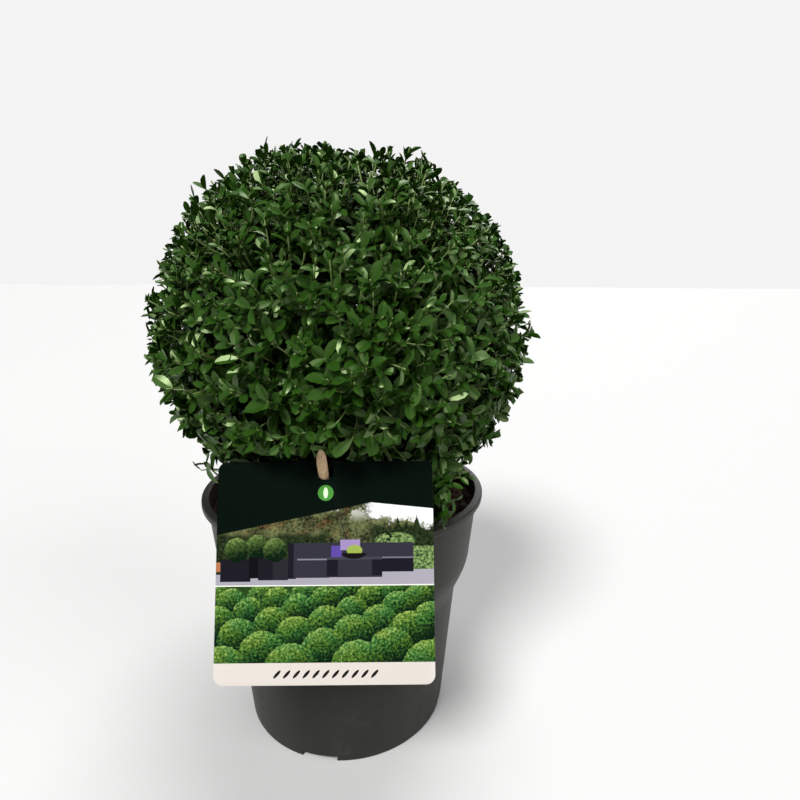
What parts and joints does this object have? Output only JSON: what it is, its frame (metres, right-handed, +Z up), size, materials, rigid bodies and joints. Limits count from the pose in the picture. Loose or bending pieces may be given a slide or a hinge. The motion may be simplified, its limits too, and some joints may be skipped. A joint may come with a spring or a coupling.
{
  "type": "potted box topiary ball",
  "caption": "Clipped evergreen box ball on short stems in a dark plastic nursery pot, with a picture card without lettering hung on a wooden peg; stands on its foot ring.",
  "frame": {"origin": "on the pot's axis, in the plane that its foot ring stands on", "axes": "+Z up; -Y to the front, where the picture card hangs; +X to the right seen from the front"},
  "size_m": [0.2414, 0.2422, 0.3911],
  "materials": {
    "pot_plastic": "satin moulded plastic, faintly scuffed",
    "peat": "moist, crumbly, with pale specks and fibres",
    "bark": "grey-brown, finely fissured",
    "twig": "green to tan young wood",
    "leaves": "glossy dark green leaf with a paler underside",
    "printed_card": "smooth print, lightly glossy",
    "peg_wood": "raw cut wood"
  },
  "bodies": {
    "root": {"bough_back": "bark", "bough_front_left": "bark", "bough_right": "bark", "card_peg": "peg_wood", "crown": "leaves", "leader_stem": "bark", "picture_card": "printed_card", "pot": "pot_plastic", "root_ball": "peat", "side_bough_back": "bark", "side_bough_back_left": "bark", "side_bough_back_right": "bark", "side_bough_front": "bark", "side_bough_front_right": "bark", "side_bough_left": "bark", "side_bough_right": "bark", "skirt_back": "leaves", "skirt_back_left": "leaves", "skirt_back_right": "leaves", "skirt_front": "leaves", "skirt_front_right": "leaves", "skirt_left": "leaves", "skirt_right": "leaves", "stem_front": "bark", "stem_left": "bark", "stem_right": "bark"}
  },
  "joints": []
}
